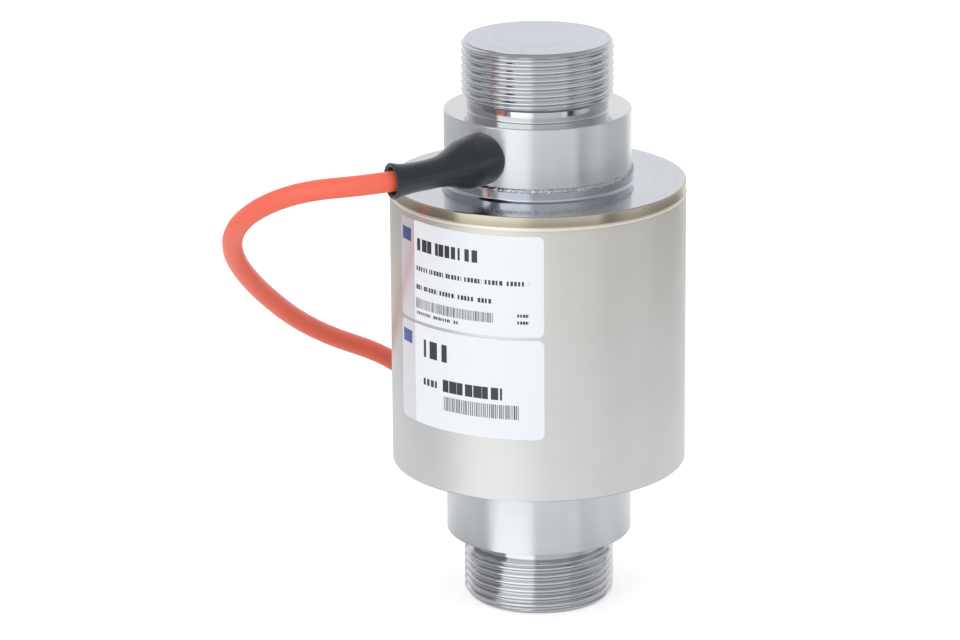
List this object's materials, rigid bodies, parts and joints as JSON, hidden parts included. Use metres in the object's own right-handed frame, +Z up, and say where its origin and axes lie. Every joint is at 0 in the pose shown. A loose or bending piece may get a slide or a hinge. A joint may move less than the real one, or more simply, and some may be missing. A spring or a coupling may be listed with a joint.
{
  "type": "strain gauge load cell",
  "caption": "Canister load cell: a turned steel column with a threaded stub at each end, in a sealed round casing, with a sleeved side cable.",
  "frame": {"origin": "centre of the lower end face, on the column's axis", "axes": "+Z up the column to the upper thread; -Y is the side that the picture looks at"},
  "size_m": [0.1183, 0.1951, 0.149],
  "materials": {
    "body_steel": "bright turned stainless steel",
    "casing_steel": "satin blasted stainless steel",
    "cover_steel": "polished stainless steel with a straw heat tint at its rim",
    "weld_metal": "bare weld bead with a straw tint",
    "nipple_steel": "turned stainless steel",
    "sleeve_black": "soft sheen shrink sleeve, dark slate",
    "cable_red": "satin coral red jacket",
    "tie_black": "woven hook tape",
    "core_red": "satin insulation",
    "core_black": "satin insulation",
    "core_green": "satin insulation",
    "core_white": "satin insulation",
    "tinned_metal": "tinned copper",
    "label_film": "satin white polyester film",
    "gauge_foil": "amber polyimide backing",
    "lead_enamel": "enamelled copper wire",
    "board_laminate": "green laminate",
    "spacer_brass": "turned brass",
    "screw_steel": "plated steel",
    "resistor_body": "coated ceramic",
    "potting": "epoxy potting",
    "inner_jacket": "grey bundle wrap"
  },
  "bodies": {
    "root": {"measuring_body": "body_steel", "casing_tube": "casing_steel", "top_cover": "cover_steel", "base_cover": "cover_steel", "top_seam_weld": "weld_metal", "base_seam_weld": "weld_metal", "upper_neck_weld": "weld_metal", "lower_neck_weld": "weld_metal", "cable_nipple": "nipple_steel", "nipple_potting": "potting", "cable_sleeve": "sleeve_black", "cable_lead": "cable_red", "cable_coil": "cable_red", "coil_tie_left": "tie_black", "coil_tie_right": "tie_black", "cable_end_sleeve": "sleeve_black", "core_red": "core_red", "core_black": "core_black", "core_green": "core_green", "core_white": "core_white", "core_ferrules": "tinned_metal", "label_upper": "label_film", "label_lower": "label_film", "strain_gauge_front": "gauge_foil", "strain_gauge_back": "gauge_foil", "strain_gauge_left": "gauge_foil", "strain_gauge_right": "gauge_foil", "gauge_terminals": "tinned_metal", "gauge_leads": "lead_enamel", "circuit_board": "board_laminate", "board_spacers": "spacer_brass", "board_screws": "screw_steel", "trim_resistors": "resistor_body", "temperature_resistor": "resistor_body", "inner_lead": "inner_jacket"}
  },
  "joints": []
}
